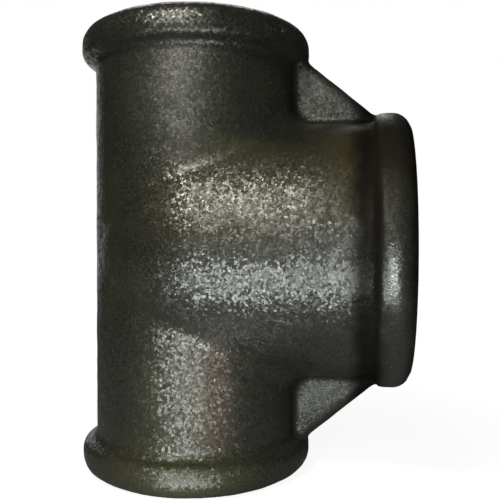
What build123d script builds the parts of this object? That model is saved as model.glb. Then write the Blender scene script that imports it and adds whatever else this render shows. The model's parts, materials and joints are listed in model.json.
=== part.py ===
"""Reducing tee with an enlarged branch: one malleable iron casting, in mm.

The run stands on its lower end along +Z and the larger branch points along +X.
A bulge carries the branch round the run, and two flat webs brace the corners.
The origin is the centre of the lower end face.
"""

import os

from build123d import *

# Reaches from the centre of the tee to its end faces.
run_reach = 36.0
branch_reach = 35.0

# Internal pipe threads: radius at the root, and depth.
run_thread_r = 13.22
run_thread_depth = 1.16
branch_thread_r = 16.62
branch_thread_depth = 1.48

# Lands of plain waterway between the crossing and each thread's inner end.
run_land = 3.93
branch_land = 4.33

# Mouth chamfers open a little past the thread roots, and so do the waterways.
mouth_relief = 0.35
core_relief = 0.45

# Walls cast round the waterways.
run_wall = 3.1
branch_wall = 3.43

# Beads round the three ends: the back slopes and is rounded by shares of the
# rise, and the rim is rounded by a share of the crest that is left.
run_bead_rise = 2.2
run_bead_width = 5.5
branch_bead_rise = 1.42
branch_bead_width = 5.5
bead_slope_share = 0.33
bead_root_share = 0.54
bead_shoulder_share = 0.62
bead_rim_share = 0.55

# The branch ends in a round bulge that stops just short of the run's back.
# The blends there are shares of the free barrel beside them.
bulge_setback = 0.75
junction_share = 0.33
waterway_share = 0.3

# Webs, which run into the backs of the beads, flush but for a small inset.
web_thickness = 3.8
web_inset = 0.15
web_edge_share = 0.34
web_corner_share = 0.5

# Sizes that follow.
axis_height = run_reach
run_bore_r = run_thread_r - run_thread_depth
branch_bore_r = branch_thread_r - branch_thread_depth
run_core_r = run_thread_r + core_relief
branch_core_r = branch_thread_r + core_relief
run_body_r = run_core_r + run_wall
branch_body_r = branch_core_r + branch_wall
run_bead_r = run_body_r + run_bead_rise
branch_bead_r = branch_body_r + branch_bead_rise
bulge_x = branch_body_r - run_body_r + bulge_setback
run_waterway = branch_core_r + run_land
branch_waterway = run_core_r + branch_land
junction_round = junction_share * min(
    run_reach - run_bead_width - branch_body_r,
    branch_reach - branch_bead_width - run_body_r,
)
waterway_round = waterway_share * min(run_land, branch_land)

# Half sections are drawn outward from the centre of the tee: sketch X follows
# the barrel and sketch Y is the radius.
centre = (0, 0, axis_height)
up = Plane(origin=centre, x_dir=(0, 0, 1), z_dir=(0, 1, 0))
down = Plane(origin=centre, x_dir=(0, 0, -1), z_dir=(0, 1, 0))
out = Plane(origin=centre, x_dir=(1, 0, 0), z_dir=(0, -1, 0))
out_mirrored = Plane(origin=centre, x_dir=(1, 0, 0), z_dir=(0, 1, 0))
run_axis = Axis(centre, (0, 0, 1))
branch_axis = Axis(centre, (1, 0, 0))


def corner(sketch, along, radius):
    """Return the vertex of a half section nearest to a point."""
    return min(
        sketch.vertices(),
        key=lambda vertex: abs(vertex.X - along) + abs(vertex.Y - radius),
    )


def inner_end(radius, bulge):
    """Draw a half section's inner end: square, or round about a bulge."""
    with BuildLine() as end:
        if bulge is None:
            Line((0, 0), (0, radius))
        else:
            CenterArc((bulge, 0), radius, 90, 90)
    return end.line


def bead_sizes(width, rise):
    """Return the length of a bead's back, then its shoulder and rim radii."""
    back = rise * bead_slope_share
    crest = width - back
    return back, min(rise, crest / 2) * bead_shoulder_share, crest * bead_rim_share


def barrel(plane, axis, reach, body_r, bead_r, bead_width, bulge=None):
    """Turn a barrel with a rounded bead at its outer end."""
    rise = bead_r - body_r
    back, shoulder_round, rim_round = bead_sizes(bead_width, rise)
    root = (reach - bead_width, body_r)
    shoulder = (root[0] + back, bead_r)
    rim = (reach, bead_r)
    inner, tip = (0, 0) if bulge is None else (bulge, bulge - body_r)
    with BuildPart() as turned:
        with BuildSketch(plane) as section:
            with BuildLine():
                add(inner_end(body_r, bulge))
                Polyline((inner, body_r), root, shoulder, rim, (reach, 0), (tip, 0))
            make_face()
            fillet(corner(section, *rim), rim_round)
            fillet(corner(section, *shoulder), shoulder_round)
            fillet(corner(section, *root), rise * bead_root_share)
        revolve(axis=axis)
    return turned.part


def waterway(plane, axis, depth, core_r, bulge=None):
    """Turn the cored hollow from the centre to the inner end of a thread."""
    inner, tip = (0, 0) if bulge is None else (bulge, bulge - core_r)
    with BuildPart() as hollow:
        with BuildSketch(plane):
            with BuildLine():
                add(inner_end(core_r, bulge))
                Polyline((inner, core_r), (depth, core_r), (depth, 0), (tip, 0))
            make_face()
        revolve(axis=axis)
    return hollow.part


def bore(plane, axis, inner, reach, bore_r, core_r, mouth_r):
    """Turn the hollow of a tapped port, from its shoulder to its mouth."""
    with BuildPart() as hollow:
        with BuildSketch(plane):
            with BuildLine():
                Polyline(
                    (inner - 1, 0), (inner - 1, core_r), (inner, core_r),
                    (inner + core_r - bore_r, bore_r),
                    (reach - mouth_r + bore_r, bore_r), (reach, mouth_r),
                    (reach + 1, mouth_r), (reach + 1, 0), close=True,
                )
            make_face()
        revolve(axis=axis)
    return hollow.part


def seams(part):
    """Pick the curved seams where two barrels run into each other."""
    return part.edges().filter_by(GeomType.BSPLINE)


def build_outside():
    """Join the run, the branch with its bulge, and the blend between them."""
    with BuildPart() as outside:
        for plane in (up, down):
            add(barrel(plane, run_axis, run_reach, run_body_r, run_bead_r,
                       run_bead_width))
        add(barrel(out, branch_axis, branch_reach, branch_body_r, branch_bead_r,
                   branch_bead_width, bulge_x))
        fillet(seams(outside), junction_round)
    return outside.part


def web_rim(web):
    """Pick the long edges along a web's outer side, on both of its faces."""
    nearest = min(run_bead_r, branch_bead_r) - web_inset - 1e-3
    return [
        edge for edge in web.edges()
        if (edge @ 0.5).X > nearest
        and abs((edge @ 0.5).Z - axis_height) > nearest
        and abs((edge @ 0).Y - (edge @ 1).Y) < 1e-3
    ]


def build_web(plane):
    """Make one flat web with a rounded rim, its root inside the barrels."""
    low, high = run_core_r - 4, branch_core_r - 4
    run_side, branch_side = run_bead_r - web_inset, branch_bead_r - web_inset
    back, _, rim_round = bead_sizes(run_bead_width, run_bead_rise)
    run_end, run_top = run_reach - run_bead_width + back / 2, run_reach - rim_round
    back, _, rim_round = bead_sizes(branch_bead_width, branch_bead_rise)
    branch_end = branch_reach - branch_bead_width + back / 2
    branch_top = branch_reach - rim_round
    with BuildPart() as web:
        with BuildSketch(plane) as flat:
            with BuildLine():
                Polyline(
                    (low, high), (low, run_top), (run_side, run_top),
                    (run_side, run_end), (branch_end, branch_side),
                    (branch_top, branch_side), (branch_top, high), close=True,
                )
            make_face()
            fillet(corner(flat, run_side, run_end),
                   web_corner_share * (run_top - run_end))
            fillet(corner(flat, branch_end, branch_side),
                   web_corner_share * (branch_top - branch_end))
        extrude(amount=web_thickness / 2, both=True)
        fillet(web_rim(web), web_thickness * web_edge_share)
    return web.part


def build_waterways():
    """Join the cored hollows of the run and the branch, blended alike."""
    with BuildPart() as hollow:
        for plane in (up, down):
            add(waterway(plane, run_axis, run_waterway, run_core_r))
        add(waterway(out, branch_axis, branch_waterway, branch_core_r, bulge_x))
        fillet(seams(hollow), waterway_round)
    return hollow.part


def build_bores():
    """Join the hollows of the three tapped ports."""
    with BuildPart() as hollows:
        for plane in (up, down):
            add(bore(plane, run_axis, run_waterway, run_reach, run_bore_r,
                     run_core_r, run_thread_r + mouth_relief))
        add(bore(out, branch_axis, branch_waterway, branch_reach, branch_bore_r,
                 branch_core_r, branch_thread_r + mouth_relief))
    return hollows.part


with BuildPart() as tee_casting:
    add(build_outside())
    add(build_web(out))
    add(build_web(out_mirrored))
    add(build_waterways(), mode=Mode.SUBTRACT)
    add(build_bores(), mode=Mode.SUBTRACT)

tee_casting.part.label = "tee_casting"
os.makedirs("parts", exist_ok=True)
export_step(tee_casting.part, "parts/tee_casting.step")
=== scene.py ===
"""A malleable iron reducing tee with an enlarged branch, dressed for rendering.

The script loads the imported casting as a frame, makes the piece that the eye
sees from it, and stands it in a pale studio. The visible casting is made the
way the real one is: a raw casting with a sand skin comes first, and each of
its three ports is then faced, chamfered and tapped.
"""

from __future__ import annotations

import json
import logging
import math
from dataclasses import dataclass
from enum import Enum, IntEnum
from typing import Any

import bmesh
import bpy
from mathutils import Matrix, Vector, noise

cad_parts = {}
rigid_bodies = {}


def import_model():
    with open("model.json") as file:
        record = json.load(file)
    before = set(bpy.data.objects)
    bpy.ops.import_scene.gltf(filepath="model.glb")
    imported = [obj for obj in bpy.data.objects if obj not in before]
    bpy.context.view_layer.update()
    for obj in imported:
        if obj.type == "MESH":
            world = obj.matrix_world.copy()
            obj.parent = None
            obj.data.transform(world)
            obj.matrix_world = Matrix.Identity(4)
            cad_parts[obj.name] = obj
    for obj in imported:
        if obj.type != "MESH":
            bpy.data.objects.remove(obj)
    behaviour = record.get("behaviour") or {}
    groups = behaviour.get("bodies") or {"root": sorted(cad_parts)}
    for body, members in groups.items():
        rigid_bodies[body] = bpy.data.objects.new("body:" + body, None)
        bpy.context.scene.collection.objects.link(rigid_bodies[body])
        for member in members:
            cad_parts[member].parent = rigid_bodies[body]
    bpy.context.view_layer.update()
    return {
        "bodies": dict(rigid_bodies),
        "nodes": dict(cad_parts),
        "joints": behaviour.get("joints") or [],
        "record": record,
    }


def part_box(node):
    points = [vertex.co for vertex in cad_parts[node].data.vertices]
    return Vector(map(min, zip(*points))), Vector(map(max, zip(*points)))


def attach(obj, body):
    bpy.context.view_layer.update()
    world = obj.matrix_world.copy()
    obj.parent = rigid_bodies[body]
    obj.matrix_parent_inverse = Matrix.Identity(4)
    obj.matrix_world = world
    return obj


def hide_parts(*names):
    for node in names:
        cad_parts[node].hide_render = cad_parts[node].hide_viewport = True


log = logging.getLogger("tee")

MM = 0.001
INCH = 25.4 * MM
# Corners nearer to each other than this are one corner.
WELD = 0.002 * MM

CASTING_NODE = "tee_casting"

Colour = tuple[float, float, float]
Point = tuple[float, float, float]
Band = tuple[float, float]


class Surface(IntEnum):
    """Material slots of the casting, in order."""

    SKIN = 0
    CORED = 1
    RUN_CUT = 2
    BRANCH_CUT = 3


class Axis(Enum):
    """The line that a port's tool marks run round."""

    RUN = "run"
    BRANCH = "branch"


# The mount, the threads to the inch and the cut surface of each port.
PORTS = (
    ("run_port_lower", 14, Surface.RUN_CUT),
    ("run_port_upper", 14, Surface.RUN_CUT),
    ("branch_port", 11, Surface.BRANCH_CUT),
)


# Shader building


class Signal:
    """A shader socket that takes part in Python arithmetic."""

    def __init__(self, graph: Graph, socket: bpy.types.NodeSocket) -> None:
        """Wrap one output socket of a node tree.

        Args:
            graph: The node tree's graph.
            socket: The output socket.
        """
        self.graph = graph
        self.socket = socket

    def _math(self, operation: str, *values: Signal | float) -> Signal:
        """Add a Math node on values and return its output."""
        return self.graph.node(
            "ShaderNodeMath", {"operation": operation}, dict(enumerate(values))
        )

    def __add__(self, other: Signal | float) -> Signal:
        """Return self + other."""
        return self._math("ADD", self, other)

    def __radd__(self, other: float) -> Signal:
        """Return other + self."""
        return self._math("ADD", other, self)

    def __sub__(self, other: Signal | float) -> Signal:
        """Return self - other."""
        return self._math("SUBTRACT", self, other)

    def __rsub__(self, other: float) -> Signal:
        """Return other - self."""
        return self._math("SUBTRACT", other, self)

    def __mul__(self, other: Signal | float) -> Signal:
        """Return self * other."""
        return self._math("MULTIPLY", self, other)

    def __rmul__(self, other: float) -> Signal:
        """Return other * self."""
        return self._math("MULTIPLY", other, self)

    def sine(self) -> Signal:
        """Return the sine of self, in radians."""
        return self._math("SINE", self)

    def clamped(self) -> Signal:
        """Return self held between 0 and 1."""
        return self._math("MINIMUM", self._math("MAXIMUM", self, 0.0), 1.0)

    def between(self, low: float, high: float) -> Signal:
        """Return 0 at low and 1 at high, and in between on a smooth curve.

        Args:
            low: The input that gives 0.
            high: The input that gives 1, which may be the smaller.

        Returns:
            The remapped signal.
        """
        return self.graph.node(
            "ShaderNodeMapRange",
            {"interpolation_type": "SMOOTHSTEP"},
            {"Value": self, "From Min": low, "From Max": high},
        )


class Graph:
    """A node tree, in which every node is made by one method."""

    def __init__(self, tree: bpy.types.NodeTree, output: str) -> None:
        """Empty a node tree and give it an output.

        Args:
            tree: The node tree.
            output: The type of its output node.
        """
        self.tree = tree
        self.tree.nodes.clear()
        self.output = self.tree.nodes.new(output)

    def node(
        self,
        kind: str,
        settings: dict[str, object] | None = None,
        inputs: dict[str | int, object] | None = None,
        output: str | int = 0,
    ) -> Signal:
        """Add a node, with its settings made before its sockets are filled.

        Args:
            kind: The node's type.
            settings: Attributes of the node.
            inputs: Values or signals by socket name or number.
            output: The output socket to return.

        Returns:
            The chosen output, ready for arithmetic.
        """
        node = self.tree.nodes.new(kind)
        for key, value in (settings or {}).items():
            setattr(node, key, value)
        for key, value in (inputs or {}).items():
            socket = node.inputs[key]
            if isinstance(value, Signal):
                self.tree.links.new(value.socket, socket)
            elif isinstance(value, tuple) and socket.type == "RGBA":
                socket.default_value = (*value, 1.0)
            else:
                socket.default_value = value
        return Signal(self, node.outputs[output])

    def vector(
        self, operation: str, *values: Signal | Point, output: str | int = 0
    ) -> Signal:
        """Add a Vector Math node on values and return the chosen output."""
        settings = {"operation": operation}
        return self.node(
            "ShaderNodeVectorMath", settings, dict(enumerate(values)), output
        )

    def length(self, vector: Signal) -> Signal:
        """Return the length of a vector."""
        return self.vector("LENGTH", vector, output="Value")

    def blend(self, factor: Signal, first: Signal, second: Signal) -> Signal:
        """Mix two surfaces by a factor from 0 to 1."""
        return self.node("ShaderNodeMixShader", inputs={0: factor, 1: first, 2: second})

    def show(self, surface: Signal) -> None:
        """Join a surface to the output."""
        self.tree.links.new(surface.socket, self.output.inputs["Surface"])


class Shader(Graph):
    """One material, built from the coordinates to the surface."""

    def __init__(self, name: str) -> None:
        """Start an empty material.

        Args:
            name: The material's name.
        """
        self.material = bpy.data.materials.new(name)
        self.material.use_nodes = True
        super().__init__(self.material.node_tree, "ShaderNodeOutputMaterial")

    def place_mm(self) -> Signal:
        """Return the place on the part, in millimetres."""
        place = self.node("ShaderNodeTexCoord", output="Object")
        return self.node(
            "ShaderNodeMapping", inputs={"Vector": place, "Scale": (1 / MM,) * 3}
        )

    def grain(self, place: Signal, size: float, detail: float = 2.0) -> Signal:
        """Return cloudy noise from 0 to 1.

        Args:
            place: The coordinates, in millimetres.
            size: The width of a grain, in millimetres.
            detail: How many finer layers are added.

        Returns:
            The noise value.
        """
        return self.node(
            "ShaderNodeTexNoise",
            inputs={"Vector": place, "Scale": 1 / size, "Detail": detail},
        )

    def facets(self, place: Signal, size: float) -> Signal:
        """Return the height of small facets that each tilt their own way.

        Args:
            place: The coordinates, in millimetres.
            size: The width of a facet, in millimetres.

        Returns:
            The height in millimetres, for tilts of up to one in two.
        """
        cells: dict[str | int, object] = {"Vector": place, "Scale": 1 / size}
        tilt = self.node("ShaderNodeTexVoronoi", inputs=cells, output="Color")
        middle = self.node("ShaderNodeTexVoronoi", inputs=cells, output="Position")
        tilt = self.vector("SUBTRACT", tilt, (0.5, 0.5, 0.5))
        across = self.vector("SUBTRACT", place, middle)
        return self.vector("DOT_PRODUCT", across, tilt, output="Value")

    def mixed(self, factor: Signal, first: object, second: object) -> Signal:
        """Mix two colours by a factor.

        Args:
            factor: 0 for the first colour and 1 for the second.
            first: A colour or a signal.
            second: A colour or a signal.

        Returns:
            The mixed colour.
        """
        return self.node(
            "ShaderNodeMix",
            {"data_type": "RGBA"},
            {"Factor": factor, 6: first, 7: second},
            output=2,
        )

    def bump(self, height: Signal, depth: float, below: Signal | None = None) -> Signal:
        """Turn a height signal into a normal.

        Args:
            height: The height, from 0 to 1, or in millimetres for facets.
            depth: What a height of 1 stands for, in millimetres.
            below: A normal that this relief lies on.

        Returns:
            The bumped normal.
        """
        inputs: dict[str | int, object] = {"Height": height, "Distance": depth * MM}
        if below is not None:
            inputs["Normal"] = below
        return self.node("ShaderNodeBump", inputs=inputs)

    def surface(self, **sockets: object) -> Signal:
        """Return a Principled surface.

        Args:
            **sockets: Values or signals by socket name, with _ for a space.

        Returns:
            The surface.
        """
        named = {key.replace("_", " "): value for key, value in sockets.items()}
        return self.node("ShaderNodeBsdfPrincipled", inputs=named)

    def close(self, surface: Signal) -> bpy.types.Material:
        """Show a surface, and return the material."""
        self.show(surface)
        return self.material


# Finishes


@dataclass(frozen=True)
class StainAndShade:
    """A soft patch on the skin. Most are heat tint, scale or dried oil; some are
    painted shade.

    Attributes:
        centre_mm: The middle of the patch.
        reach_mm: How far it goes along each axis.
        colour: The colour of the stained skin, or of the painted shade.
        strength: How much of the skin's own colour it hides in its middle.
        roughening: What it adds to the roughness.
        smoothing: The share of the sand's relief that it fills.
        dulling: The share of the shine that it takes away.
    """

    centre_mm: Point
    reach_mm: Point
    colour: Colour
    strength: float
    roughening: float = 0.0
    smoothing: float = 0.0
    dulling: float = 0.0

    # Shares of the reach at which the patch is gone and in full.
    GONE = 1.1
    FULL = 0.3
    # How far the clouds push its edge, as a share of the reach.
    RAGGED = 0.8

    def cover(self, shader: Shader, place: Signal, cloud: Signal) -> Signal:
        """Return how much of the skin the patch covers, with a cloudy edge.

        Args:
            shader: The shader to add nodes to.
            place: The coordinates, in millimetres.
            cloud: Noise that breaks up the edge.

        Returns:
            0 away from the patch, and up to the strength in its middle.
        """
        offset = shader.vector("SUBTRACT", place, self.centre_mm)
        away = shader.length(shader.vector("DIVIDE", offset, self.reach_mm))
        away = away + (cloud - 0.5) * self.RAGGED
        return away.between(self.GONE, self.FULL) * self.strength


@dataclass(frozen=True)
class CastSkin:
    """Black oxide on a sand-cast skin, with tinted clouds and a sandy grain.

    Attributes:
        name: The material's name.
        dark: Colour between the grains.
        light: Colour on the grains.
        tint: Colour of the clouds.
        roughness: Roughness before the grain and the clouds change it.
        sand_mm: Width of the facets that the sand leaves.
        sand_tilt: Share of their full tilt that the facets have.
        fine_share: Width of the fine grain, as a share of a facet's.
        fine_depth_mm: Height of the fine grain.
        lump_mm: Width of the lumps under the sand.
        lump_depth_mm: Height of the lumps.
        cloud_mm: Width of the clouds.
        light_band: Grain values at which the light colour starts and is full.
        tint_band: Cloud values at which the tint starts and is full.
        tint_strength: How much of the colour below the tint hides.
        cloud_roughening: How much the clouds change the roughness.
        fine_roughening: How much the fine grain changes it.
        cloud_shine: How much the clouds change the shine.
        matt_film_and_shade_roughness: Roughness where the shine is gone.
        stains_and_shade: Patches of stain and of painted shade on the skin, each over
            those before it.
    """

    name: str
    dark: Colour
    light: Colour
    tint: Colour
    roughness: float
    sand_mm: float = 0.36
    sand_tilt: float = 0.33
    fine_share: float = 0.8
    fine_depth_mm: float = 0.03
    lump_mm: float = 1.3
    lump_depth_mm: float = 0.05
    cloud_mm: float = 5.0
    light_band: Band = (0.35, 0.65)
    tint_band: Band = (0.5, 0.75)
    tint_strength: float = 0.6
    cloud_roughening: float = 0.2
    fine_roughening: float = 0.3
    cloud_shine: float = 0.1
    matt_film_and_shade_roughness: float = 0.9
    stains_and_shade: tuple[StainAndShade, ...] = ()

    def build(self) -> bpy.types.Material:
        """Build the skin: a shiny oxide, and a matt surface where the shine is gone,
        which serves dull films and painted shade.

        Returns:
            The material.
        """
        shader = Shader(self.name)
        place = shader.place_mm()
        cloud = shader.grain(place, self.cloud_mm, detail=3.0)
        lump = shader.grain(place, self.lump_mm)
        fine = shader.grain(place, self.sand_mm * self.fine_share)
        sand = shader.facets(place, self.sand_mm)

        colour = shader.mixed(fine.between(*self.light_band), self.dark, self.light)
        tinted = cloud.between(*self.tint_band) * self.tint_strength
        colour = shader.mixed(tinted, colour, self.tint)
        roughness = self.roughness + (cloud - 0.5) * self.cloud_roughening
        roughness = roughness + (fine - 0.5) * self.fine_roughening
        shine = (cloud - 0.5) * self.cloud_shine + 1
        for stain_and_shade in self.stains_and_shade:
            cover = stain_and_shade.cover(shader, place, cloud)
            colour = shader.mixed(cover, colour, stain_and_shade.colour)
            roughness = roughness + cover * stain_and_shade.roughening
            sand = sand * (1 - cover * stain_and_shade.smoothing)
            shine = shine * (1 - cover * stain_and_shade.dulling)

        relief = shader.bump(lump, self.lump_depth_mm)
        relief = shader.bump(sand, self.sand_tilt, relief)
        relief = shader.bump(fine, self.fine_depth_mm, relief)
        oxide = shader.surface(Base_Color=colour, Roughness=roughness, Normal=relief)
        matt_film_and_shade = shader.surface(
            Base_Color=colour,
            Roughness=self.matt_film_and_shade_roughness,
            Specular_IOR_Level=0.0,
            Normal=relief,
        )
        return shader.close(shader.blend(shine.clamped(), matt_film_and_shade, oxide))


@dataclass(frozen=True)
class CutIron:
    """Bare iron left by the facing and tapping tools, under a film of oil.

    Attributes:
        name: The material's name.
        axis: The line that the tool marks run round.
        axis_height_mm: Height of that line, where it lies flat.
        bright: Colour of the clean metal.
        dull: Colour of the oily metal.
        groove_mm: Distance from one tool mark to the next.
        groove_depth_mm: Depth of the tool marks.
        groove_share: Share of that depth in the grooves themselves.
        speck_share: Share of it in the specks on them.
        smear_mm: Width of the oil smears.
        speck_mm: Width of the specks.
        smear_band: Smear values at which the dull colour starts and is full.
        metallic: How metallic the surface is.
        roughness: Roughness of the clean metal.
        smear_roughening: What the smears add to it.
        speck_roughening: What the specks add to it.
    """

    name: str
    axis: Axis
    axis_height_mm: float
    bright: Colour = (0.30, 0.29, 0.27)
    dull: Colour = (0.19, 0.18, 0.16)
    groove_mm: float = 0.16
    groove_depth_mm: float = 0.012
    groove_share: float = 0.7
    speck_share: float = 0.6
    smear_mm: float = 2.2
    speck_mm: float = 0.35
    smear_band: Band = (0.42, 0.68)
    metallic: float = 0.9
    roughness: float = 0.3
    smear_roughening: float = 0.2
    speck_roughening: float = 0.08

    def radius(self, shader: Shader, place: Signal) -> Signal:
        """Return the distance from the port's axis.

        Args:
            shader: The shader to add nodes to.
            place: The coordinates, in millimetres.

        Returns:
            The distance, in millimetres.
        """
        if self.axis is Axis.RUN:
            across, drop = (1, 1, 0), 0.0
        else:
            across, drop = (0, 1, 1), -self.axis_height_mm
        moved = shader.node(
            "ShaderNodeMapping", inputs={"Vector": place, "Location": (0, 0, drop)}
        )
        return shader.length(shader.vector("MULTIPLY", moved, across))

    def build(self) -> bpy.types.Material:
        """Build the machined metal, with tool marks round the axis.

        Returns:
            The material.
        """
        shader = Shader(self.name)
        place = shader.place_mm()
        radius = self.radius(shader, place)
        rings = (radius * (math.tau / self.groove_mm)).sine() * 0.5 + 0.5
        smear = shader.grain(place, self.smear_mm, detail=4.0)
        speck = shader.grain(place, self.speck_mm)
        oily = smear.between(*self.smear_band)
        marks = rings * self.groove_share + speck * self.speck_share
        roughness = self.roughness + smear * self.smear_roughening
        return shader.close(shader.surface(
            Base_Color=shader.mixed(oily, self.bright, self.dull),
            Metallic=self.metallic,
            Roughness=roughness + speck * self.speck_roughening,
            Normal=shader.bump(marks, self.groove_depth_mm),
        ))


Finish = CastSkin | CutIron

# Patches of stain and of painted shade on the outer skin, each over those before it.
# The camera looks along
# +Y, so most of them lie where y is below 0.
STAINS_AND_SHADE = (
    # Olive oil film on the run's left flank.
    StainAndShade((-13, -11, 38), (7, 10, 16), (0.016, 0.015, 0.006), 0.6),
    # The run's lower front: a dull film, and reddish scale on its right.
    StainAndShade((1, -16, 14), (8, 8, 15), (0.020, 0.019, 0.010), 0.7, dulling=0.35),
    StainAndShade((6, -16, 15), (4.5, 8, 10), (0.038, 0.025, 0.017), 0.7),
    # Olive film on the upper branch, dull and rough toward its bead.
    StainAndShade(
        (10, -18, 44), (17, 9, 9), (0.024, 0.022, 0.009), 0.6,
        smoothing=0.1, dulling=0.08,
    ),
    StainAndShade(
        (28, -15, 47.5), (11, 12, 12), (0.022, 0.019, 0.008), 0.9,
        roughening=0.2, smoothing=0.2, dulling=0.8,
    ),
    # Smooth scale on the run's upper front, and where the branch rises from it.
    StainAndShade(
        (1, -16, 60), (11, 9, 12), (0.013, 0.013, 0.0105), 0.9,
        roughening=0.1, smoothing=0.5, dulling=0.1,
    ),
    StainAndShade(
        (9, -16, 50.5), (11, 7, 4), (0.018, 0.018, 0.009), 0.8,
        roughening=0.1, smoothing=0.5, dulling=0.4,
    ),
    # Fine dull skin on the upper and the lower web.
    StainAndShade(
        (23, 0, 61), (12, 5, 12), (0.012, 0.012, 0.010), 0.9,
        roughening=0.12, smoothing=0.5, dulling=0.3,
    ),
    StainAndShade(
        (23, 0, 11), (12, 5, 12), (0.012, 0.012, 0.010), 0.9,
        roughening=0.12, smoothing=0.55, dulling=0.4,
    ),
    # Rings round the branch: painted shade in the bead's corner, a very dark colour
    # without shine; its smooth crest; painted shade on its rim, dark and with little
    # shine.
    StainAndShade(
        (28.6, 0, 36), (3.4, 90, 90), (0.004, 0.0035, 0.003), 0.95,
        smoothing=0.6, dulling=0.95,
    ),
    StainAndShade(
        (32.2, 0, 36), (2.4, 90, 90), (0.009, 0.009, 0.007), 0.9,
        roughening=-0.08, smoothing=0.85,
    ),
    StainAndShade(
        (35.4, 0, 36), (2.4, 90, 90), (0.006, 0.006, 0.005), 0.9,
        smoothing=0.3, dulling=0.8,
    ),
    # Painted shade on the branch bead's upper front: a darker colour with less shine.
    StainAndShade((32, -17, 51), (5, 9, 10), (0.008, 0.007, 0.005), 0.8, dulling=0.6),
    # Olive film on the lower bead, dull on its shoulder.
    StainAndShade((0, -16, 3), (18, 12, 7), (0.020, 0.020, 0.008), 0.5),
    StainAndShade((0, -19, 4.2), (22, 6, 1.9), (0.020, 0.020, 0.011), 0.8, dulling=0.6),
)

OUTER_SKIN = CastSkin(
    "black_oxide",
    dark=(0.006, 0.0058, 0.0045),
    light=(0.013, 0.0128, 0.0105),
    tint=(0.014, 0.0125, 0.007),
    roughness=0.34,
    stains_and_shade=STAINS_AND_SHADE,
)
CORED_SKIN = CastSkin(
    "cored_oxide",
    dark=(0.016, 0.013, 0.011),
    light=(0.045, 0.036, 0.028),
    tint=(0.060, 0.036, 0.022),
    roughness=0.62,
    sand_mm=0.5,
    sand_tilt=0.6,
    fine_depth_mm=0.06,
)


# Mesh helpers


def linked(name: str, data: bpy.types.ID) -> bpy.types.Object:
    """Link a mesh, lamp or camera to the scene as an object at the origin.

    Args:
        name: The object's name.
        data: What the object holds.

    Returns:
        The object.
    """
    holder = bpy.data.objects.new(name, data)
    bpy.context.scene.collection.objects.link(holder)
    return holder


def mesh_object(name: str, bm: bmesh.types.BMesh) -> bpy.types.Object:
    """Turn a bmesh, which is freed, into an object at the origin.

    Args:
        name: The name of the object and of its mesh.
        bm: The bmesh.

    Returns:
        The object.
    """
    mesh = bpy.data.meshes.new(name)
    bm.to_mesh(mesh)
    bm.free()
    return linked(name, mesh)


def bake(piece: bpy.types.Object) -> None:
    """Apply an object's modifiers and remove them.

    Args:
        piece: The object, which gets a new mesh.
    """
    graph = bpy.context.evaluated_depsgraph_get()
    mesh = bpy.data.meshes.new_from_object(piece.evaluated_get(graph))
    piece.modifiers.clear()
    piece.data = mesh


def chain(
    bm: bmesh.types.BMesh, points: list[tuple[float, float]]
) -> list[bmesh.types.BMVert | bmesh.types.BMEdge]:
    """Draw a line of edges in the XZ plane.

    Args:
        bm: The mesh to draw in.
        points: Radius and height of each corner, in metres.

    Returns:
        The new vertices and edges.
    """
    corners = [bm.verts.new((radius, 0.0, height)) for radius, height in points]
    edges = [bm.edges.new(pair) for pair in zip(corners, corners[1:])]
    return [*corners, *edges]


# Ports


@dataclass(frozen=True)
class PipeThread:
    """A parallel pipe thread: 55 degree flanks with rounded tips.

    Attributes:
        per_inch: Threads to the inch.
        crest_r: Radius at the thread's crest, in metres.
        depth_share: Depth of the groove, as a share of the pitch.
        turn_steps: Steps that the sweep takes for one turn.
    """

    per_inch: int
    crest_r: float
    depth_share: float = 0.6403
    turn_steps: int = 72

    # Place along one pitch and share of the depth, from crest to crest.
    FORM = (
        (0.0, 0.0), (0.08, 0.03), (0.14, 0.13), (0.36, 0.87), (0.42, 0.97),
        (0.5, 1.0), (0.58, 0.97), (0.64, 0.87), (0.86, 0.13), (0.92, 0.03), (1.0, 0.0),
    )

    @property
    def pitch(self) -> float:
        """Distance from one turn to the next, in metres."""
        return INCH / self.per_inch

    @property
    def root_r(self) -> float:
        """Radius at the bottom of the groove, in metres."""
        return self.crest_r + self.depth_share * self.pitch

    def tap(self, start: float, end: float) -> bmesh.types.BMesh:
        """Make the solid that a tap sweeps out along +Z.

        Args:
            start: Height where the sweep begins, in metres.
            end: Height that it passes, in metres.

        Returns:
            A closed mesh of one helical ridge.
        """
        bm = bmesh.new()
        depth = self.root_r - self.crest_r
        line = chain(bm, [
            (self.crest_r + share * depth, start + place * self.pitch)
            for place, share in self.FORM
        ])
        steps = math.ceil((end - start) / self.pitch * self.turn_steps)
        bmesh.ops.spin(
            bm, geom=line, axis=(0, 0, 1), steps=steps,
            angle=math.tau * steps / self.turn_steps,
            dvec=(0, 0, self.pitch / self.turn_steps),
        )
        bmesh.ops.remove_doubles(bm, verts=bm.verts, dist=WELD)
        self._close_ends(bm)
        bmesh.ops.recalc_face_normals(bm, faces=bm.faces)
        return bm

    @staticmethod
    def _close_ends(bm: bmesh.types.BMesh) -> None:
        """Draw each open end of the ridge to a point on the axis.

        Args:
            bm: The ridge, which is changed.
        """
        middle = sum(vertex.co.z for vertex in bm.verts) / len(bm.verts)
        rims = [edge for edge in bm.edges if edge.is_boundary]
        for low in (True, False):
            rim = [edge for edge in rims if (edge.verts[0].co.z < middle) is low]
            made = bmesh.ops.extrude_edge_only(bm, edges=rim)["geom"]
            tips = [item for item in made if isinstance(item, bmesh.types.BMVert)]
            height = sum(vertex.co.z for vertex in tips) / len(tips)
            bmesh.ops.pointmerge(bm, verts=tips, merge_co=(0, 0, height))


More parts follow.
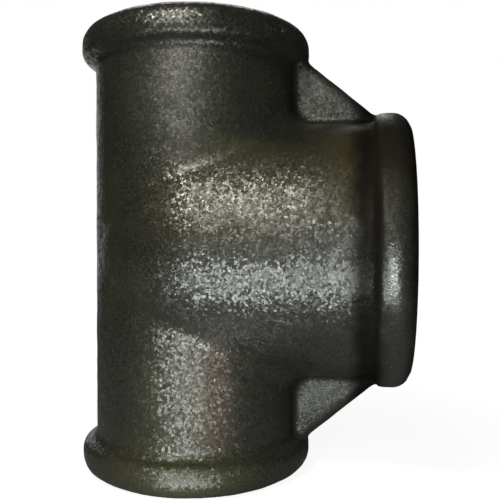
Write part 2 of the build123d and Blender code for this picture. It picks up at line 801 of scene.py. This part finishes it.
@dataclass(frozen=True)
class Port:
    """One tapped end of the tee, known by the mount that the record states.

    Lengths are in metres.

    Attributes:
        name: The mount's name.
        thread: The thread in the port.
        foot: The centre of the tee, where the ports' axes meet.
        direction: The way that the port points.
        reach: Distance from the foot to the end face.
        wall_start: Distance from the foot to the threaded wall's inner end.
        surface: The slot of what the tools leave.
        mouth_relief: How much wider than the thread's root the chamfer opens.
        stock: What the raw casting has too much, for the tools to cut away.
        run_in_turns: Turns that the tap makes past each end of the wall.
        tool_depth: Thickness of the facing tool.
        tool_steps: Flats round the facing tool.
    """

    name: str
    thread: PipeThread
    foot: Vector
    direction: Vector
    reach: float
    wall_start: float
    surface: Surface
    mouth_relief: float = 0.35 * MM
    stock: float = 0.7 * MM
    run_in_turns: float = 1.4
    tool_depth: float = 4 * MM
    tool_steps: int = 96

    # Slack for finding the end face, and the wall inside the mouth.
    FACE_SLACK = 0.01 * MM
    WALL_SLACK = 0.02 * MM

    @classmethod
    def from_mount(
        cls,
        mount: dict[str, Any],
        per_inch: int,
        foot: Vector,
        reach: float,
        surface: Surface,
    ) -> Port:
        """Read a port from the record.

        Args:
            mount: The threaded hole's entry.
            per_inch: Threads to the inch.
            foot: The centre of the tee, in metres.
            reach: Distance from there to the end face, in metres.
            surface: The slot of what the tools leave.

        Returns:
            The port.
        """
        direction = Vector(mount["axis"])
        middle = (Vector(mount["pos_m"]) - foot).dot(direction)
        half = mount["dims"]["length_mm"] * MM / 2
        thread = PipeThread(per_inch, mount["dims"]["r_mm"] * MM)
        return cls(
            mount["name"], thread, foot, direction, reach, middle - half, surface
        )

    @property
    def mouth_r(self) -> float:
        """Radius of the chamfer where it meets the end face, in metres."""
        return self.thread.root_r + self.mouth_relief

    @property
    def placement(self) -> Matrix:
        """The transform from a port that points up +Z to its place."""
        turn = self.direction.to_track_quat("Z", "Y").to_matrix().to_4x4()
        return Matrix.Translation(self.foot) @ turn

    def split(self, place: Vector) -> tuple[float, Vector]:
        """Measure a place from the foot, along the port and away from its axis.

        Args:
            place: The place.

        Returns:
            The distance along the axis, and the offset from it.
        """
        offset = place - self.foot
        along = offset.dot(self.direction)
        return along, offset - along * self.direction

    def add_stock(self, bm: bmesh.types.BMesh) -> None:
        """Thicken the bore wall and the end face, for the tools to cut away.

        Args:
            bm: The casting's mesh.
        """
        for vertex in bm.verts:
            along, radial = self.split(vertex.co)
            if along < self.wall_start - self.FACE_SLACK:
                continue
            if radial.length < self.mouth_r + self.WALL_SLACK:
                vertex.co -= radial.normalized() * self.stock
            if along > self.reach - self.FACE_SLACK:
                vertex.co += self.direction * self.stock

    def facing_tool(self) -> bmesh.types.BMesh:
        """Make the swept solid of the facing and chamfering tools.

        Returns:
            A closed mesh that points up +Z.
        """
        bm = bmesh.new()
        depth = self.mouth_r - self.thread.crest_r + self.stock
        line = chain(bm, [
            (0.0, self.reach - depth),
            (self.mouth_r - depth, self.reach - depth),
            (self.mouth_r, self.reach),
            (2 * self.mouth_r, self.reach),
            (2 * self.mouth_r, self.reach + self.tool_depth),
            (0.0, self.reach + self.tool_depth),
        ])
        bmesh.ops.spin(
            bm, geom=line, axis=(0, 0, 1), angle=math.tau, steps=self.tool_steps,
            use_merge=True,
        )
        bmesh.ops.remove_doubles(bm, verts=bm.verts, dist=WELD)
        bmesh.ops.recalc_face_normals(bm, faces=bm.faces)
        return bm

    def tools(self) -> list[bpy.types.Object]:
        """Make the cutters of this port, in place.

        Returns:
            The cutters, in the order of their use.
        """
        run_in = self.run_in_turns * self.thread.pitch
        tap = self.thread.tap(self.wall_start - run_in, self.reach + run_in)
        cutters = []
        for label, bm in (("face", self.facing_tool()), ("tap", tap)):
            bmesh.ops.transform(bm, matrix=self.placement, verts=bm.verts)
            for face in bm.faces:
                face.material_index = self.surface
            cutters.append(mesh_object(f"{self.name}_{label}", bm))
        return cutters


# The casting


@dataclass
class TeeCasting:
    """The tee itself: a raw casting with its skin, then three machined ports.

    Lengths are in metres.

    Attributes:
        node: The frame's casting.
        ports: The three tapped ends.
        finishes: What each slot of the casting is made of.
        grid: Width of the raw casting's quads.
        relax_rounds: Rounds of smoothing that soften its corners.
        relax_factor: How far each round goes.
        swell: Height of the slow swells of the mould.
        swell_size: Width of a swell.
        pebble: Height of the pebbles on them.
        pebble_size: Width of a pebble.
        core_wall: How far outside a thread's root a waterway may lie.
        core_overlap: How far past the tee's centre a waterway goes.
        sharp_angle: Edges that turn by more than this are sharp, in radians.
    """

    node: bpy.types.Object
    ports: list[Port]
    finishes: dict[Surface, Finish]
    grid: float = 0.52 * MM
    relax_rounds: int = 2
    relax_factor: float = 0.5
    swell: float = 0.07 * MM
    swell_size: float = 4.0 * MM
    pebble: float = 0.03 * MM
    pebble_size: float = 1.3 * MM
    core_wall: float = 1.2 * MM
    core_overlap: float = 1 * MM
    sharp_angle: float = math.radians(38)

    # Moves the pebbles' noise away from the swells'.
    PEBBLE_SHIFT = Vector((7, 3, 5))

    @classmethod
    def from_frame(cls, frame: dict[str, Any]) -> TeeCasting:
        """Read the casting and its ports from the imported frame.


        Returns:
            The casting, ready to build.
        """
        low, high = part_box(CASTING_NODE)
        centre = Vector((0.0, 0.0, (low.z + high.z) / 2))
        mounts = {mount["name"]: mount for mount in frame["record"]["mounts"]}
        ports = [
            Port.from_mount(
                mounts[name], per_inch, centre,
                high.x if surface is Surface.BRANCH_CUT else centre.z, surface,
            )
            for name, per_inch, surface in PORTS
        ]
        finishes = {
            Surface.SKIN: OUTER_SKIN,
            Surface.CORED: CORED_SKIN,
            Surface.RUN_CUT: CutIron("run_cut", Axis.RUN, centre.z / MM),
            Surface.BRANCH_CUT: CutIron("branch_cut", Axis.BRANCH, centre.z / MM),
        }
        return cls(frame["nodes"][CASTING_NODE], ports, finishes)

    def raw_casting(self) -> bpy.types.Object:
        """Copy the frame's casting, add stock, and give it soft corners.

        Returns:
            An object of even quads, with its modifiers applied.
        """
        bm = bmesh.new()
        bm.from_mesh(self.node.data)
        bmesh.ops.remove_doubles(bm, verts=bm.verts, dist=WELD)
        for port in self.ports:
            port.add_stock(bm)
        casting = mesh_object("casting", bm)
        remesh = casting.modifiers.new("grid", "REMESH")
        remesh.mode, remesh.voxel_size = "VOXEL", self.grid
        relax = casting.modifiers.new("relax", "SMOOTH")
        relax.factor, relax.iterations = self.relax_factor, self.relax_rounds
        bake(casting)
        return casting

    def roughen(self, mesh: bpy.types.Mesh) -> None:
        """Give the raw casting the slow swells and pebbles of a sand mould.

        Args:
            mesh: The raw casting's mesh, which is changed.
        """
        bm = bmesh.new()
        bm.from_mesh(mesh)
        moves = []
        for vertex in bm.verts:
            swell = noise.noise(vertex.co / self.swell_size)
            pebble = noise.noise(vertex.co / self.pebble_size + self.PEBBLE_SHIFT)
            moves.append(vertex.normal * (self.swell * swell + self.pebble * pebble))
        for vertex, move in zip(bm.verts, moves):
            vertex.co += move
        for face in bm.faces:
            middle = face.calc_center_median()
            face.material_index = self.surface_at(middle, face.normal)
        bm.to_mesh(mesh)
        bm.free()

    def surface_at(self, place: Vector, normal: Vector) -> Surface:
        """Say whether a spot on the raw casting is outside or in a waterway.

        Args:
            place: The spot.
            normal: The way that the surface faces there.

        Returns:
            The slot of the cored skin or of the outer one.
        """
        for port in self.ports:
            along, radial = port.split(place)
            near = radial.length < port.thread.root_r + self.core_wall
            inside = -self.core_overlap < along < port.reach + port.stock
            if near and inside and normal.dot(radial) < 0:
                return Surface.CORED
        return Surface.SKIN

    def machine(self, casting: bpy.types.Object) -> None:
        """Face, chamfer and tap every port.

        Args:
            casting: The raw casting, which is cut.
        """
        for port in self.ports:
            for cutter in port.tools():
                cut = casting.modifiers.new(cutter.name, "BOOLEAN")
                cut.operation, cut.solver = "DIFFERENCE", "MANIFOLD"
                cut.object = cutter
                bake(casting)
                bpy.data.objects.remove(cutter)
        # The cutters have no material, so the cuts add an empty slot at the end.
        while casting.data.materials[-1] is None:
            casting.data.materials.pop()

    def build(self) -> bpy.types.Object:
        """Make the finished casting and let it stand for the frame's node.

        Returns:
            The finished casting.
        """
        casting = self.raw_casting()
        self.roughen(casting.data)
        for slot in Surface:
            casting.data.materials.append(self.finishes[slot].build())
        self.machine(casting)
        for polygon in casting.data.polygons:
            polygon.use_smooth = True
        casting.data.set_sharp_from_angle(angle=self.sharp_angle)
        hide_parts(CASTING_NODE)
        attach(casting, "root")
        triangles = sum(len(polygon.vertices) - 2 for polygon in casting.data.polygons)
        log.info("%s: %d triangles", casting.name, triangles)
        return casting


# The studio


def aimed(
    name: str, data: bpy.types.ID, place_mm: Point, aim_mm: Point
) -> bpy.types.Object:
    """Stand a lamp or a camera in one place, looking at another.

    Args:
        name: The object's name.
        data: The lamp or the camera.
        place_mm: Where it stands.
        aim_mm: What it looks at.

    Returns:
        The object.
    """
    holder = linked(name, data)
    holder.location = Vector(place_mm) * MM
    sight = Vector(aim_mm) * MM - holder.location
    holder.rotation_euler = sight.to_track_quat("-Z", "Y").to_euler()
    return holder


@dataclass(frozen=True)
class Softbox:
    """A flat lamp that the camera doesn't see.

    Attributes:
        name: The lamp's name.
        place_mm: The middle of the lamp.
        aim_mm: What it faces.
        size_mm: Its width and height.
        watts: Its power.
        colour: The colour of its light.
    """

    name: str
    place_mm: Point
    aim_mm: Point
    size_mm: tuple[float, float]
    watts: float
    colour: Colour = (1.0, 1.0, 1.0)

    def build(self) -> bpy.types.Object:
        """Place and aim the lamp.

        Returns:
            The lamp's object.
        """
        lamp = bpy.data.lights.new(self.name, "AREA")
        lamp.shape = "RECTANGLE"
        lamp.size, lamp.size_y = (side * MM for side in self.size_mm)
        lamp.energy, lamp.color = self.watts, self.colour
        holder = aimed(self.name, lamp, self.place_mm, self.aim_mm)
        holder.visible_camera = False
        return holder


COOL = (0.94, 1.0, 0.95)
WARM = (1.0, 0.97, 0.83)
CREAM = (1.0, 0.98, 0.91)

SOFTBOXES = (
    # Low lamps in front. The last faces past the branch, to light its bead alone.
    Softbox("low_left", (-7, -68, 9), (3, -18, 27), (20, 6), 0.028, COOL),
    Softbox("low_mid", (13, -68, 5), (9, -18, 27), (20, 6), 0.019, COOL),
    Softbox("low_end", (34, -68, 17), (88, -22, 31), (2.8, 32), 0.038, COOL),
    # A small lamp at the foot of the lower bead.
    Softbox("bead_card", (3, -23, 0.7), (3, -19, 4.4), (12, 2), 0.0009),
    # The main lamp above the camera, and a large weak one near it.
    Softbox("high_warm", (-28, -118, 150), (3, -10, 38), (32, 18), 0.235, WARM),
    Softbox("front_fill", (-5, -150, 103), (4, 0, 40), (60, 60), 0.095, CREAM),
    # Large lamps behind.
    Softbox("back_soft", (-60, 260, 240), (0, 0, 40), (200, 200), 0.3),
    Softbox("left_rim", (-190, 300, 40), (0, 0, 36), (200, 260), 0.15),
)


@dataclass(frozen=True)
class Studio:
    """A pale floor, soft lamps and the camera at the photograph's angle.

    Attributes:
        eye_mm: Where the camera stands.
        aim_mm: What it looks at.
        lens_mm: Its focal length.
        sensor_mm: Width of its sensor.
        clip_m: The nearest and the farthest that it sees, in metres.
        floor_mm: Width of the floor.
        floor_colour: The floor as the camera sees it.
        bounce: How pale the floor is to the tee.
        foot_mm: Distances from the origin at which the floor under the tee
            is matt, and at which it glows.
        fade_mm: Distances at which the glow starts to grow, and is full.
        glow: Share of plain white in the floor near the tee.
        backdrop: Strength of the plain white.
        ambient: Strength of the surroundings as a light.
        softboxes: The lamps.
    """

    eye_mm: Point = (27.04, -107.74, 37.38)
    aim_mm: Point = (9.096, 0.0, 35.964)
    lens_mm: float = 46.62
    sensor_mm: float = 36.0
    clip_m: tuple[float, float] = (1 * MM, 20.0)
    floor_mm: float = 3000.0
    floor_colour: Colour = (0.9, 0.9, 0.9)
    bounce: float = 0.2
    foot_mm: Band = (13.0, 16.0)
    fade_mm: Band = (30.0, 120.0)
    glow: float = 0.85
    backdrop: float = 1.06
    ambient: float = 0.045
    softboxes: tuple[Softbox, ...] = SOFTBOXES

    def camera(self) -> bpy.types.Object:
        """Set the camera where the photograph was taken from.

        Returns:
            The camera's object.
        """
        data = bpy.data.cameras.new("camera")
        data.lens, data.sensor_width = self.lens_mm, self.sensor_mm
        data.clip_start, data.clip_end = self.clip_m
        camera = aimed("camera", data, self.eye_mm, self.aim_mm)
        bpy.context.scene.camera = camera
        return camera

    def floor(self) -> bpy.types.Object:
        """Lay a pale floor under the tee.

        Returns:
            The floor.
        """
        bm = bmesh.new()
        half = self.floor_mm * MM / 2
        bmesh.ops.create_grid(bm, x_segments=1, y_segments=1, size=half)
        floor = mesh_object("floor", bm)
        floor.data.materials.append(self.floor_material())
        return floor

    def floor_material(self) -> bpy.types.Material:
        """Build a matt pale floor that fades into the white backdrop.

        Returns:
            The material.
        """
        shader = Shader("floor_white")
        away = shader.length(shader.place_mm())
        seen = shader.node("ShaderNodeLightPath", output="Is Camera Ray")
        colour = shader.mixed(seen, (self.bounce,) * 3, self.floor_colour)
        matt = shader.node("ShaderNodeBsdfDiffuse", inputs={"Color": colour})
        white = shader.node(
            "ShaderNodeEmission", inputs={"Color": (1, 1, 1), "Strength": self.backdrop}
        )
        near = away.between(*self.foot_mm) * self.glow
        far = away.between(*self.fade_mm) * (1 - self.glow)
        return shader.close(shader.blend(seen * (far + near), matt, white))

    def world(self) -> None:
        """Make the surroundings: white to the eye, and dim as a light."""
        world = bpy.data.worlds.new("studio")
        world.use_nodes = True
        graph = Graph(world.node_tree, "ShaderNodeOutputWorld")
        seen = graph.node("ShaderNodeLightPath", output="Is Camera Ray")
        lit = graph.node("ShaderNodeBackground", inputs={"Strength": self.ambient})
        white = graph.node("ShaderNodeBackground", inputs={"Color": (1, 1, 1)})
        graph.show(graph.blend(seen, lit, white))
        bpy.context.scene.world = world

    def build(self) -> None:
        """Set up the camera, the floor, the world and the lamps."""
        self.camera()
        self.floor()
        self.world()
        for softbox in self.softboxes:
            softbox.build()
        log.info("studio: %d lamps", len(self.softboxes))


def main() -> None:
    """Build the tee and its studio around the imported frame."""
    logging.basicConfig(level=logging.INFO, format="%(name)s %(message)s")
    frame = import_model()
    bpy.context.scene.view_settings.view_transform = "Standard"

    tee = TeeCasting.from_frame(frame)
    Studio().build()
    tee.build()


if __name__ == "__main__":
    main()
